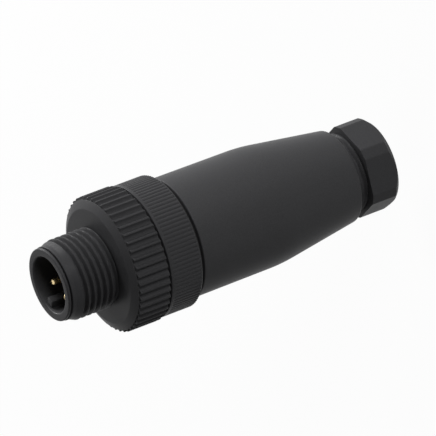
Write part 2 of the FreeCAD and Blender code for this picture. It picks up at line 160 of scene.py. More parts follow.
class CarrierSizes(bpy.types.PropertyGroup):
    foot: length("Foot", "Height of the terminal block's end", CARRIER_LOW.z)
    top: length("Top", "Height of the mating face", CARRIER_HIGH.z)
    block_radius: length("Block radius", "Radius of the terminal block", 6.7)
    block_length: length("Block length", "Length of the terminal block", 7.4)
    boss_radius: length("Boss radius", "Crest radius of the thread in the sleeve", 7.6)
    boss_length: length("Boss length", "Length of the threaded boss", 5.8)
    boss_pitch: length("Boss pitch", "Pitch of the thread in the sleeve", 1.0)
    boss_depth: length("Boss thread depth", "Depth of the thread in the sleeve", 0.5)
    flange_radius: length("Flange radius", "Radius over the fine knurl", CARRIER_HIGH.x)
    flange_height: length("Flange height", "Height of the flange", 5.25)
    flange_band: length("Flange band", "Smooth band above the knurl", 0.45)
    flange_edge: length("Flange edge", "Bevel below the knurl", 0.3)
    knurls: count("Knurls", "Number of fine grooves around the flange", 100)
    knurl_depth: length("Knurl depth", "Depth of a fine groove", 0.12)
    tube_radius: length("Shroud radius", "Outside of the shroud", 4.85)
    mouth_radius: length("Mouth radius", "Inside of the shroud", 4.2)
    mouth_depth: length("Mouth depth", "From the mating face to the contact floor", 9.6)
    lip_radius: length("Lip radius", "Radius of the lip that keeps the nut on", 5.4)
    lip_height: length("Lip height", "Height of the lip", 0.4)
    lip_round: length("Lip rounding", "Rounding of the lip", 0.2)
    mouth_round: length("Mouth rounding", "Rounding of the mouth's edge", 0.25)
    key_width: length("Key width", "Width of the coding key", 1.2)
    key_reach: length("Key reach", "How far the key stands in from the wall", 1.2)
    key_drop: length("Key drop", "Coding key below the mating face", 0.4)
    key_round: length("Key rounding", "Rounding of the key's edges", 0.12)
    clearance: length("Pocket clearance", "Room around each contact", 0.05)


class SleeveSizes(bpy.types.PropertyGroup):
    foot: length("Foot", "Height of the cable end", SLEEVE_LOW.z)
    top: length("Top", "Height of the open end", SLEEVE_HIGH.z)
    end_radius: length("End radius", "Outer radius at the cable end", 6.9)
    end_round: length("End rounding", "Rounding of the cable end", 0.35)
    shoulder: length("Shoulder", "Height of the shoulder above the cable end", 13.2)
    shoulder_radius: length("Shoulder radius", "Outer radius at the shoulder", 8.84)
    shoulder_reach: length("Shoulder reach", "How far the shoulder's rounding spreads", 1.6)
    top_radius: length("Top radius", "Outer radius at the open end", SLEEVE_HIGH.x)
    gland_bore_depth: length("Gland bore depth", "Depth of the bore for the gland", 11.5)
    gland_thread: length("Gland thread", "Threaded part of the gland bore", 7.8)
    seat_height: length("Seat height", "Wall that the cable seal rests on", 0.6)
    wire_hole_radius: length("Wire hole radius", "Hole into the wiring room", 3.4)
    wiring_radius: length("Wiring radius", "Radius of the wiring room", 7.25)
    head_thread: length("Head thread", "Depth of the threaded bore for the carrier", 5.8)
    thread_clearance: length("Thread clearance", "Radial room between mating threads", 0.08)


class GlandNutSizes(bpy.types.PropertyGroup):
    foot: length("Foot", "Height of the end face", GLAND_LOW.z)
    top: length("Top", "Height of the shank's tip", GLAND_HIGH.z)
    head: length("Head", "Height of the hexagon", 4.8)
    flats: length("Flats", "Across the six spanner flats", 12.6)
    corner_flats: length("Corner flats", "Across the six flattened corners", 13.6)
    edge_round: length("Edge rounding", "Rounding between the flats", 0.14)
    turned: angle("Turned", "Direction that one flat faces", 2.0)
    end_radius: length("End radius", "Radius of the end face", 6.1)
    rim: length("Rim", "Height of the turned rim", 0.8)
    shank_radius: length("Shank radius", "Crest radius of the thread", 6.0)
    thread_depth: length("Thread depth", "Depth of the thread", 0.55)
    thread_pitch: length("Thread pitch", "Pitch of the thread", 1.5)
    bore_radius: length("Bore radius", "Radius of the cable bore", 3.4)
    mouth: length("Mouth", "Rounding of the cable bore's mouth", 0.7)


class RingSizes(bpy.types.PropertyGroup):
    thrust_radius: length("Thrust ring radius", "Outer radius of the thrust ring", THRUST_HIGH.x)
    thrust_bore: length("Thrust ring bore", "Bore radius of the thrust ring", 3.4)
    seal_radius: length("Cable seal radius", "Outer radius of the cable seal", SEAL_HIGH.x)
    seal_bore: length("Cable seal bore", "Bore radius of the cable seal", 3.1)
    seal_groove: length("Cable seal groove", "Depth of the grooves in the seal's bore", 0.25)
    ring_radius: length("O-ring radius", "Outer radius of the O-ring", RING_HIGH.x)
    ring_width: length("O-ring width", "Radial thickness of the O-ring", 0.9)
    edge: length("Edges", "Rounding of the rings' edges", 0.15)


class ContactSizes(bpy.types.PropertyGroup):
    top: length("Top", "Height of the pin tips", PIN_HIGH.z)
    foot: length("Foot", "Height of the barrel's end", PIN_LOW.z)
    pin_radius: length("Pin radius", "Radius of a pin", 0.5)
    pin_circle: length("Pin circle", "Diameter of the circle of pins", 5.0)
    tip_round: length("Tip rounding", "Rounding of a pin's tip", 0.3)
    contact_top: length("Contact top", "Height of the step under the contact floor", 32.0)
    link_width: length("Link width", "Width of the link between pin and barrel", 1.2)
    link_height: length("Link height", "Height of the link between pin and barrel", 1.2)
    barrel_inner: length("Barrel inner face", "Inner face of the barrel, from the axis", 2.6)
    barrel_outer: length("Barrel outer face", "Outer face of the barrel, from the axis", 5.9)
    barrel_width: length("Barrel width", "Width of the barrel", 2.6)
    wire_inner: length("Wire hole inner face", "Inner face of the wire hole, from the axis", 3.05)
    wire_outer: length("Wire hole outer face", "Outer face of the wire hole, from the axis", 4.8)
    wire_width: length("Wire hole width", "Width of the wire hole", 1.5)
    wire_depth: length("Wire hole depth", "Depth of the wire hole", 7.0)
    edge: length("Edges", "Bevel of the contact's edges", 0.08)


class TerminalSizes(bpy.types.PropertyGroup):
    screw_level: length("Screw level", "Height of the screw axes", 25.7)
    screw_radius: length("Screw radius", "Crest radius of a terminal screw", 0.7)
    screw_length: length("Screw length", "Length of a terminal screw", 1.85)
    screw_pitch: length("Screw pitch", "Pitch of a terminal screw", 0.4)
    slot_width: length("Slot width", "Width of the screw's slot", 0.3)
    slot_depth: length("Slot depth", "Depth of the screw's slot", 0.5)
    way_radius: length("Screw way", "Radius of the hole over each screw", 0.95)
    plate_thickness: length("Plate thickness", "Thickness of a clamp plate", 0.25)
    plate_length: length("Plate length", "Length of a clamp plate", 3.6)
    plate_lip: length("Plate lip", "Lip at the clamp plate's end", 0.35)


class Finishes(bpy.types.PropertyGroup):
    housing: colour("Housing plastic", "Colour of the sleeve", 0.036, 0.036, 0.0375)
    nut: colour("Nut plastic", "Colour of the nuts and the thrust ring", 0.031, 0.031, 0.0325)
    insert: colour("Insert plastic", "Colour of the contact carrier", 0.031, 0.031, 0.0325)
    rubber: colour("Rubber", "Colour of the seals", 0.012, 0.012, 0.012)
    gold: colour("Contact plating", "Colour of the contacts", 0.83, 0.66, 0.36)
    steel: colour("Screw steel", "Colour of the terminal screws", 0.6, 0.6, 0.58)
    plate: colour("Plate steel", "Colour of the clamp plates", 0.64, 0.64, 0.62)
    housing_roughness: share("Housing roughness", "Roughness of the sleeve", 0.42)
    nut_roughness: share("Nut roughness", "Roughness of the nuts", 0.42)
    insert_roughness: share("Insert roughness", "Roughness of the contact carrier", 0.4)
    rubber_roughness: share("Rubber roughness", "Roughness of the seals", 0.8)
    gold_roughness: share("Plating roughness", "Roughness of the contacts", 0.28)
    steel_roughness: share("Screw roughness", "Roughness of the terminal screws", 0.34)
    plate_roughness: share("Plate roughness", "Roughness of the clamp plates", 0.26)


class StageValues(bpy.types.PropertyGroup):
    azimuth: angle("Azimuth", "Direction that the camera looks from", 229.5)
    elevation: angle("Elevation", "Camera above the horizon", 25.5)
    roll: angle("Roll", "How far the camera leans", -110.7)
    distance: length("Distance", "Camera to the object's middle", 1500.0)
    right: FloatProperty(name="Right", description="Aim to the right of the object's middle",
                         default=0.65 * MM, unit="LENGTH", precision=5)
    up: FloatProperty(name="Up", description="Aim above the object's middle",
                      default=0.71 * MM, unit="LENGTH", precision=5)
    lens: FloatProperty(name="Lens", description="Focal length in millimetres", default=875.0, min=1.0)
    floor: length("Floor", "Side of the square floor", 6000.0)
    floor_drop: length("Floor drop", "Floor below the foot, clear of the gland nut when it backs off", 6.0)
    floor_shade: share("Floor shade", "How strongly the floor shows the shadow", 0.08)
    world_light: share("World light", "Strength of the light from all round", 0.12)


# Outlines, spun shapes and cuts

def in_mm(settings):
    """The sizes of a property group as plain numbers, lengths in millimetres."""
    sizes = {}
    for key in settings.__annotations__:
        kind = settings.bl_rna.properties[key]
        amount = getattr(settings, key)
        sizes[key] = amount / MM if kind.unit == "LENGTH" else amount
    return SimpleNamespace(**sizes)


def wire(corners, steps=4):
    """A closed wire of radius and height corners. A third entry rounds a corner over that distance."""
    bm = bmesh.new()
    verts = [bm.verts.new((corner[0], 0, corner[1])) for corner in corners]
    for before, after in zip(verts, verts[1:] + verts[:1]):
        bm.edges.new((before, after))
    for corner, vert in zip(corners, verts):
        if len(corner) > 2:
            bmesh.ops.bevel(bm, geom=[vert], offset=corner[2], offset_type="OFFSET", segments=steps,
                            profile=0.5, affect="VERTICES", material=-1)
    return bm


def ring_wire(inner, outer, low, high, edge, steps=4):
    """A closed wire for a plain ring with rounded edges."""
    return wire(((inner, low, edge), (outer, low, edge), (outer, high, edge), (inner, high, edge)), steps)


def add_rows(bm, low, high, inner, outer, spacing):
    """Divide the wire's long edges that lie between two heights and two radii."""
    for edge in bm.edges[:]:
        middle = (edge.verts[0].co + edge.verts[1].co) / 2
        inside = low - TOUCH < middle.z < high + TOUCH and inner - TOUCH < middle.x < outer + TOUCH
        cuts = round(edge.calc_length() / spacing) - 1
        if inside and cuts > 0:
            bmesh.ops.subdivide_edges(bm, edges=[edge], cuts=cuts)


def spin_wire(bm, segments):
    """Turn the wire all the way round Z into a closed skin."""
    bmesh.ops.spin(bm, geom=bm.verts[:] + bm.edges[:], cent=(0, 0, 0), axis=(0, 0, 1), dvec=(0, 0, 0),
                   angle=FULL_TURN, steps=segments, use_merge=True, use_duplicate=False)
    bmesh.ops.remove_doubles(bm, verts=bm.verts[:], dist=TOUCH / 10)
    bmesh.ops.recalc_face_normals(bm, faces=bm.faces[:])


def pull_in(bm, low, high, inner, outer, rule):
    """Pull the skin between two heights and two radii in to what a rule gives for angle and height."""
    for vert in bm.verts:
        radius = vert.co.xy.length
        if low - TOUCH < vert.co.z < high + TOUCH and inner - TOUCH < radius < outer + TOUCH:
            wanted = rule(math.atan2(vert.co.y, vert.co.x), vert.co.z)
            if wanted < radius:
                vert.co.x *= wanted / radius
                vert.co.y *= wanted / radius


def eased(amount):
    """From 0 to 1 with no corner at either end."""
    amount = min(max(amount, 0.0), 1.0)
    return amount * amount * (3 - 2 * amount)


def thread_groove(turned, height, pitch):
    """How deep a right-hand thread is cut: 0 on its crest and 1 at its root."""
    phase = (height / pitch - turned / FULL_TURN) % 1
    from_root = abs(phase - 0.5) * 2
    return 1 - eased((from_root - 0.3) / 0.55)


def mm_mesh(bm, name):
    mesh = bpy.data.meshes.new(name)
    bm.to_mesh(mesh)
    bm.free()
    return mesh


def carve(bm, tools):
    """Apply union and difference tools one after another, each a pair of mesh and operation."""
    base = bpy.data.objects.new("work_base", mm_mesh(bm, "work_base"))
    helpers = []
    bpy.context.scene.collection.objects.link(base)
    for tool, operation in tools:
        helper = bpy.data.objects.new("work_tool", mm_mesh(tool, "work_tool"))
        bpy.context.scene.collection.objects.link(helper)
        helpers.append(helper)
        modifier = base.modifiers.new("carve", "BOOLEAN")
        modifier.object = helper
        modifier.operation = operation
        modifier.solver = "MANIFOLD"
    depsgraph = bpy.context.evaluated_depsgraph_get()
    result = bmesh.new()
    result.from_object(base, depsgraph)
    for helper in helpers + [base]:
        mesh = helper.data
        bpy.data.objects.remove(helper)
        bpy.data.meshes.remove(mesh)
    if not result.faces:
        raise RuntimeError("a cut left nothing")
    bmesh.ops.remove_doubles(result, verts=result.verts[:], dist=TOUCH / 10)
    return result


def bevelled_box(low, high, edge, segments=2):
    """A box between two corners with all its edges rounded."""
    bm = bmesh.new()
    middle = (Vector(low) + Vector(high)) / 2
    size = Vector(high) - Vector(low)
    place = Matrix.Translation(middle) @ Matrix.Diagonal(size.to_4d())
    bmesh.ops.create_cube(bm, size=1.0, matrix=place)
    if edge:
        bmesh.ops.bevel(bm, geom=bm.edges[:], offset=edge, offset_type="OFFSET", segments=segments,
                        profile=0.5, affect="EDGES", material=-1)
    return bm


def plain_rod(foot, radius, height, segments=32):
    """An upright cylinder from the middle of its foot."""
    bm = bmesh.new()
    place = Matrix.Translation(Vector(foot) + Vector((0, 0, height / 2)))
    bmesh.ops.create_cone(bm, cap_ends=True, segments=segments, radius1=radius, radius2=radius,
                          depth=height, matrix=place)
    return bm


def turn_mesh(bm, degrees, axis="Z"):
    bmesh.ops.rotate(bm, cent=(0, 0, 0), matrix=Matrix.Rotation(math.radians(degrees), 3, axis),
                     verts=bm.verts[:])
    return bm


def finish_piece(bm, name, body, slot, finish, *nodes):
    """Write the mesh in metres, smooth it, and let it stand for its solids."""
    old = bpy.data.objects.get(name)
    if old:
        bpy.data.objects.remove(old)
    bmesh.ops.scale(bm, vec=(MM, MM, MM), verts=bm.verts[:])
    for face in bm.faces:
        face.smooth = True
    mesh = bpy.data.meshes.new(name)
    bm.to_mesh(mesh)
    bm.free()
    mesh.set_sharp_from_angle(angle=math.radians(SMOOTH_ANGLE))
    piece = bpy.data.objects.new(name, mesh)
    bpy.context.scene.collection.objects.link(piece)
    mesh.materials.append(finish_material(finish))
    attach(piece, body)
    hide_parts(*nodes)
    return piece


# Finishes

def add_node(tree, kind, settings=None, **inputs):
    """A node with its settings and its input values, which are named with _ for each space."""
    node = tree.nodes.new(kind)
    for key, amount in (settings or {}).items():
        setattr(node, key, amount)
    for key, amount in inputs.items():
        node.inputs[key.replace("_", " ")].default_value = amount
    return node


def skin_group(name, tone, roughness, extra=()):
    """An empty group for a skin, its colour and roughness going in and out, with its two ends."""
    group = bpy.data.node_groups.new(name, "ShaderNodeTree")
    inputs = (("Colour", "NodeSocketColor", (*tone, 1)), ("Roughness", "NodeSocketFloat", roughness), *extra)
    for label, kind, amount in inputs:
        socket = group.interface.new_socket(label, in_out="INPUT", socket_type=kind)
        socket.default_value = amount
    outputs = (("Colour", "NodeSocketColor"), ("Roughness", "NodeSocketFloat"), ("Height", "NodeSocketFloat"))
    for label, kind in outputs:
        group.interface.new_socket(label, in_out="OUTPUT", socket_type=kind)
    return group, add_node(group, "NodeGroupInput"), add_node(group, "NodeGroupOutput")


def spread(group, noise, low, high, **inputs):
    """A noise spread between two values."""
    node = add_node(group, "ShaderNodeMapRange", To_Min=low, To_Max=high, **inputs)
    group.links.new(noise.outputs["Fac"], node.inputs["Value"])
    return node


def join_skin(group, into, out, gloss, shade, height):
    """Add the gloss to the roughness, scale the colour by the shade, and send the noise out as height."""
    link = group.links.new
    rough = add_node(group, "ShaderNodeMath", {"operation": "ADD", "use_clamp": True})
    link(into.outputs["Roughness"], rough.inputs[0])
    link(gloss.outputs["Result"], rough.inputs[1])
    tint = add_node(group, "ShaderNodeVectorMath", {"operation": "SCALE"})
    link(into.outputs["Colour"], tint.inputs[0])
    link(shade.outputs["Result"], tint.inputs["Scale"])
    link(tint.outputs["Vector"], out.inputs["Colour"])
    link(rough.outputs["Value"], out.inputs["Roughness"])
    link(height.outputs["Fac"], out.inputs["Height"])


def moulded_skin():
    """Fine grain, soft flow marks and a slight unevenness of gloss, as on moulded plastic."""
    name = "moulded_skin"
    if name in bpy.data.node_groups:
        return bpy.data.node_groups[name]
    group, into, out = skin_group(name, (0.02, 0.02, 0.02), 0.5,
                                  (("Grain per metre", "NodeSocketFloat", 9000.0),))
    place = add_node(group, "ShaderNodeTexCoord")
    grain = add_node(group, "ShaderNodeTexNoise", Detail=3.0, Roughness=0.6)
    patches = add_node(group, "ShaderNodeTexNoise", Scale=260.0, Detail=4.0)
    group.links.new(place.outputs["Object"], grain.inputs["Vector"])
    group.links.new(place.outputs["Object"], patches.inputs["Vector"])
    group.links.new(into.outputs["Grain per metre"], grain.inputs["Scale"])
    gloss = spread(group, patches, -0.06, 0.06)
    shade = spread(group, grain, 0.86, 1.14, From_Min=0.3, From_Max=0.7)
    join_skin(group, into, out, gloss, shade, grain)
    return group


def turned_metal():
    """Fine tool lines and a slight stain, as on small turned or stamped metal parts."""
    name = "turned_metal"
    if name in bpy.data.node_groups:
        return bpy.data.node_groups[name]
    group, into, out = skin_group(name, (0.8, 0.8, 0.8), 0.3)
    place = add_node(group, "ShaderNodeTexCoord")
    stretch = add_node(group, "ShaderNodeMapping", Scale=(1.0, 1.0, 9.0))
    lines = add_node(group, "ShaderNodeTexNoise", Scale=3000.0, Detail=2.0)
    stain = add_node(group, "ShaderNodeTexNoise", Scale=700.0)
    group.links.new(place.outputs["Object"], stretch.inputs["Vector"])
    group.links.new(stretch.outputs["Vector"], lines.inputs["Vector"])
    group.links.new(place.outputs["Object"], stain.inputs["Vector"])
    gloss = spread(group, lines, -0.1, 0.12)
    shade = spread(group, stain, 0.82, 1.08)
    join_skin(group, into, out, gloss, shade, lines)
    return group


# Each finish: its skin, its name in the finishes' settings, the height of its bump in millimetres, how
# metallic it is, its specular level, and for the moulded ones its grain per metre

FINISHES = {
    "sleeve_moulding": (moulded_skin, "housing", 0.012, 0.0, 0.045, 8000.0),
    "nut_moulding": (moulded_skin, "nut", 0.006, 0.0, 0.045, 9500.0),
    "insert_moulding": (moulded_skin, "insert", 0.004, 0.0, 0.045, 12000.0),
    "moulded_rubber": (moulded_skin, "rubber", 0.01, 0.0, 0.3, 7000.0),
    "contact_gold": (turned_metal, "gold", 0.0006, 1.0, 0.5, None),
    "screw_steel": (turned_metal, "steel", 0.0008, 1.0, 0.5, None),
    "plate_steel": (turned_metal, "plate", 0.0005, 1.0, 0.5, None),
}


def finish_material(name):
    """A material whose colour, roughness and bump come from its skin."""
    if name in bpy.data.materials:
        return bpy.data.materials[name]
    make_skin, setting, bump_height, metallic, specular, grain = FINISHES[name]
    finishes = bpy.context.scene.connector_finishes
    material = bpy.data.materials.new(name)
    material.use_nodes = True
    tree = material.node_tree
    shader = tree.nodes["Principled BSDF"]
    skin = add_node(tree, "ShaderNodeGroup", {"node_tree": make_skin()},
                    Colour=(*getattr(finishes, setting), 1),
                    Roughness=getattr(finishes, setting + "_roughness"))
    if grain:
        skin.inputs["Grain per metre"].default_value = grain
    bump = add_node(tree, "ShaderNodeBump", Strength=1.0, Distance=bump_height * MM)
    tree.links.new(skin.outputs["Height"], bump.inputs["Height"])
    tree.links.new(skin.outputs["Colour"], shader.inputs["Base Color"])
    tree.links.new(skin.outputs["Roughness"], shader.inputs["Roughness"])
    tree.links.new(bump.outputs["Normal"], shader.inputs["Normal"])
    shader.inputs["Metallic"].default_value = metallic
    shader.inputs["Specular IOR Level"].default_value = specular
    return material


# Pieces

class CONNECTOR_OT_coupling_nut(bpy.types.Operator):
    """Make the coupling nut with its ribs, turned line, front bevel and M12 thread"""
    bl_idname = "connector.coupling_nut"
    bl_label = "Coupling nut"

    def execute(self, context):
        s = in_mm(context.scene.connector_nut)
        grip_top = s.foot + s.grip_height
        line_top = grip_top + s.line_width
        face = line_top + s.bevel_height
        thread_top = face + s.thread_length
        nose_foot = s.top - s.nose_height
        line_radius = s.grip_radius - s.line_depth
        bevel_outer = s.grip_radius - s.band_drop
        bevel_inner = bevel_outer - s.bevel_width
        bm = wire((
            (s.bore_radius, s.foot),
            (s.grip_radius, s.foot, 0.3),
            (s.grip_radius, grip_top, 0.12),
            (line_radius, grip_top),
            (line_radius, line_top),
            (bevel_outer, line_top, 0.06),
            (bevel_inner, face, 0.1),
            (s.thread_radius, face),
            (s.thread_radius, thread_top),
            (s.nose_radius, nose_foot),
            (s.nose_radius, s.top, 0.12),
            (s.bore_radius, s.top, 0.12),
        ))
        add_rows(bm, face, nose_foot, s.nose_radius, s.thread_radius, s.thread_pitch / 16)
        spin_wire(bm, RIB_STEPS * s.flutes)
        step = FULL_TURN / s.flutes

        def rib(turned, height):
            offset = (turned - step / RIB_STEPS + step / 2) % step - step / 2
            return s.grip_radius - s.flute_depth * FLUTE[round(abs(offset) / step * RIB_STEPS)]

        pull_in(bm, s.foot, grip_top, s.grip_radius - s.flute_depth, s.grip_radius, rib)

        def thread(turned, height):
            before = eased((height - face) / s.thread_relief)
            after = eased((thread_top + s.thread_fade - 0.05 - height) / s.thread_fade)
            groove = thread_groove(turned - s.thread_start, height, s.thread_pitch)
            return s.thread_radius - s.thread_depth * after * (groove * before + 1 - before)

        pull_in(bm, face, nose_foot + 0.1, s.nose_radius - 0.1, s.thread_radius, thread)
        finish_piece(bm, "coupling_ring", "coupling_nut", "nut_plastic", "nut_moulding", "coupling_nut")
        return {"FINISHED"}


def link_box(s, half, foot, top, edge):
    """The bar that runs from under a pin to the middle of its barrel, the pin lying toward X."""
    middle = (s.barrel_inner + s.barrel_outer) / 2
    return bevelled_box((s.pin_circle / 2 - half, -half, foot), (middle, half, top), edge)


class CONNECTOR_OT_contact_carrier(bpy.types.Operator):
    """Make the contact carrier: terminal block, threaded boss, knurled flange, shroud, lip and key"""
    bl_idname = "connector.contact_carrier"
    bl_label = "Contact carrier"

    def execute(self, context):
        s = in_mm(context.scene.connector_carrier)
        boss_foot = s.foot + s.block_length
        flange_foot = boss_foot + s.boss_length
        flange_top = flange_foot + s.flange_height
        knurl_foot = flange_foot + s.flange_edge
        knurl_top = flange_top - s.flange_band
        run_in = 10 * TOUCH
        run_out = s.knurl_depth / 2
        lip_foot = s.top - s.lip_height
        floor = s.top - s.mouth_depth
        bm = wire((
            (0, s.foot),
            (s.block_radius, s.foot, 0.2),
            (s.block_radius, boss_foot),
            (s.boss_radius, boss_foot),
            (s.boss_radius, flange_foot),
            (s.flange_radius - s.flange_edge, flange_foot, 0.05),
            (s.flange_radius, knurl_foot),
            (s.flange_radius, knurl_foot + run_in),
            (s.flange_radius, knurl_top - run_out),
            (s.flange_radius, knurl_top),
            (s.flange_radius, flange_top, 0.08),
            (s.tube_radius, flange_top),
            (s.tube_radius, lip_foot),
            (s.lip_radius, lip_foot, 0.06),
            (s.lip_radius, s.top, s.lip_round),
            (s.mouth_radius, s.top, s.mouth_round),
            (s.mouth_radius, floor, 0.08),
            (0, floor),
        ), steps=5)
        add_rows(bm, boss_foot, flange_foot, s.boss_radius, s.boss_radius, s.boss_pitch / 10)
        spin_wire(bm, 4 * s.knurls)

        def boss(turned, height):
            fade = eased((flange_foot - 0.1 - height) / 0.3)
            start = 1 - eased((height - boss_foot) / 0.35)
            groove = thread_groove(turned, height, s.boss_pitch) * fade
            return s.boss_radius - s.boss_depth * max(groove, start)

        pull_in(bm, boss_foot, flange_foot, s.boss_radius, s.boss_radius, boss)
        step = FULL_TURN / s.knurls

        def knurl(turned, height):
            offset = abs((turned + step / 2) % step - step / 2) / step * 4
            depth = (s.knurl_depth, 0.24 * s.knurl_depth, 0)[min(round(offset), 2)]
            return s.flange_radius - depth

        pull_in(bm, knurl_foot, knurl_top - run_out, s.flange_radius, s.flange_radius, knurl)
        key = bevelled_box(
            (s.mouth_radius - s.key_reach, -s.key_width / 2, floor - 0.1),
            ((s.mouth_radius + s.tube_radius) / 2, s.key_width / 2, s.top - s.key_drop), s.key_round, 3)
        tools = [(key, "UNION")]
        c = in_mm(context.scene.connector_contacts)
        t = in_mm(context.scene.connector_terminals)
        room = s.clearance
        below = s.foot - room
        for direction in CONTACTS:
            pocket = (
                plain_rod((c.pin_circle / 2, 0, c.contact_top - room), c.pin_radius + room,
                          floor - c.contact_top + 2 * room),
                link_box(c, c.link_width / 2 + room, below, c.contact_top, 0),
                bevelled_box((c.barrel_inner - room, -c.barrel_width / 2 - room, below),
                             (c.barrel_outer + room, c.barrel_width / 2 + room, c.contact_top), 0),
                self.screw_way(t, c, s),
            )
            for tool in pocket:
                tools.append((turn_mesh(tool, direction), "DIFFERENCE"))
        bm = carve(bm, tools)
        finish_piece(bm, "contact_insert", "head", "insert_plastic", "insert_moulding", "contact_carrier")
        return {"FINISHED"}

    def screw_way(self, t, c, s):
        """The hole over a terminal screw, lying along X."""
        bm = plain_rod((0, 0, (c.barrel_inner + c.barrel_outer) / 2), t.way_radius, s.block_radius)
        turn_mesh(bm, 90, "Y")
        bmesh.ops.translate(bm, vec=(0, 0, t.screw_level), verts=bm.verts[:])
        return bm


class CONNECTOR_OT_sleeve(bpy.types.Operator):
    """Make the tapered sleeve with its two threaded bores and its wiring room"""
    bl_idname = "connector.sleeve"
    bl_label = "Sleeve"

    def execute(self, context):
        s = in_mm(context.scene.connector_sleeve)
        g = in_mm(context.scene.connector_gland)
        c = in_mm(context.scene.connector_carrier)
        shoulder = s.foot + s.shoulder
        seat = s.foot + s.gland_bore_depth
        thread_end = s.foot + s.gland_thread
        head_foot = s.top - s.head_thread
        gland_bore = g.shank_radius + s.thread_clearance
        head_bore = c.boss_radius + s.thread_clearance
        bm = wire((
            (gland_bore, s.foot),
            (s.end_radius, s.foot, s.end_round),
            (s.shoulder_radius, shoulder, s.shoulder_reach),
            (s.top_radius, s.top, 0.15),
            (head_bore, s.top),
            (head_bore, head_foot),
            (s.wiring_radius, head_foot),
            (s.wiring_radius, seat + s.seat_height, 0.6),
            (s.wire_hole_radius, seat + s.seat_height, 0.12),
            (s.wire_hole_radius, seat, 0.12),
            (gland_bore, seat),
            (gland_bore, thread_end),
        ), steps=6)
        add_rows(bm, s.foot, thread_end, gland_bore, gland_bore, g.thread_pitch / 12)
        add_rows(bm, head_foot, s.top, head_bore, head_bore, c.boss_pitch / 10)
        spin_wire(bm, 256)

        def gland_thread(turned, height):
            fade = eased((thread_end - 0.2 - height) / 0.5) * eased((height - s.foot - 0.1) / 0.4)
            groove = thread_groove(turned, height, g.thread_pitch)
            return gland_bore - g.thread_depth * groove * fade

        def head_thread(turned, height):
            fade = eased((s.top - 0.1 - height) / 0.4) * eased((height - head_foot - 0.1) / 0.4)
            groove = thread_groove(turned, height, c.boss_pitch)
            return head_bore - c.boss_depth * groove * fade

        pull_in(bm, s.foot, thread_end, gland_bore, gland_bore, gland_thread)
        pull_in(bm, head_foot, s.top, head_bore, head_bore, head_thread)
        finish_piece(bm, "sleeve_shell", "sleeve", "black_plastic", "sleeve_moulding", "sleeve_housing")
        return {"FINISHED"}


class CONNECTOR_OT_gland_nut(bpy.types.Operator):
    """Make the gland nut with its twelve flats, turned rim, threaded shank and cable bore"""
    bl_idname = "connector.gland_nut"
    bl_label = "Gland nut"

    def execute(self, context):
        s = in_mm(context.scene.connector_gland)
        far = s.corner_flats / 2 + 0.4
        rim_slope = s.rim / (s.corner_flats / 2 - s.end_radius)
        bm = wire((
            (s.bore_radius, s.foot, s.mouth),
            (s.end_radius, s.foot, 0.12),
            (far, s.foot + rim_slope * (far - s.end_radius)),
            (far, s.head),
            (s.shank_radius, s.head),
            (s.shank_radius, s.top, 0.35),
            (s.bore_radius, s.top, 0.25),
        ), steps=5)
        add_rows(bm, s.head, s.top, s.shank_radius, s.shank_radius, s.thread_pitch / 12)
        spin_wire(bm, 256)

        def thread(turned, height):
            neck = 1 - eased((height - s.head) / 0.45)
            tip = eased((s.top - 0.25 - height) / 0.5)
            groove = thread_groove(turned, height, s.thread_pitch) * tip
            return s.shank_radius - s.thread_depth * max(groove, neck)

        pull_in(bm, s.head, s.top - 0.3, s.shank_radius, s.shank_radius, thread)
        bm = carve(bm, [(self.flats_tool(s, far), "DIFFERENCE")])
        finish_piece(bm, "gland_cap", "gland_nut", "nut_plastic", "nut_moulding", "gland_nut")
        return {"FINISHED"}

    def flats_tool(self, s, far):
        """A thick tube with the twelve flats as its inside, from below the nut to above its head."""
        bm = bmesh.new()
        flat = s.flats / 2
        corner = s.corner_flats / 2
        half_flat = math.atan2(corner / flat - math.cos(math.pi / 6), math.sin(math.pi / 6))
        reach = flat / math.cos(half_flat)
        verts = []
        for index in range(6):
            for side in (-1, 1):
                turned = index * math.pi / 3 + side * half_flat + s.turned
                verts.append(bm.verts.new((reach * math.cos(turned), reach * math.sin(turned), s.foot - 1)))
        for index in range(len(verts)):
            bm.edges.new((verts[index - 1], verts[index]))
        bmesh.ops.bevel(bm, geom=verts, offset=s.edge_round, offset_type="OFFSET", segments=4,
                        profile=0.5, affect="VERTICES", material=-1)
        inner = bm.edges[:]
        ring = bmesh.ops.create_circle(bm, segments=48, radius=far + 2,
                                       matrix=Matrix.Translation((0, 0, s.foot - 1)))
        outer = list({edge for vert in ring["verts"] for edge in vert.link_edges})
        bmesh.ops.bridge_loops(bm, edges=inner + outer)
        raised = bmesh.ops.extrude_face_region(bm, geom=bm.faces[:])
        moved = [item for item in raised["geom"] if isinstance(item, bmesh.types.BMVert)]
        bmesh.ops.translate(bm, vec=(0, 0, s.head + 1.2 - s.foot), verts=moved)
        bmesh.ops.recalc_face_normals(bm, faces=bm.faces[:])
        return bm


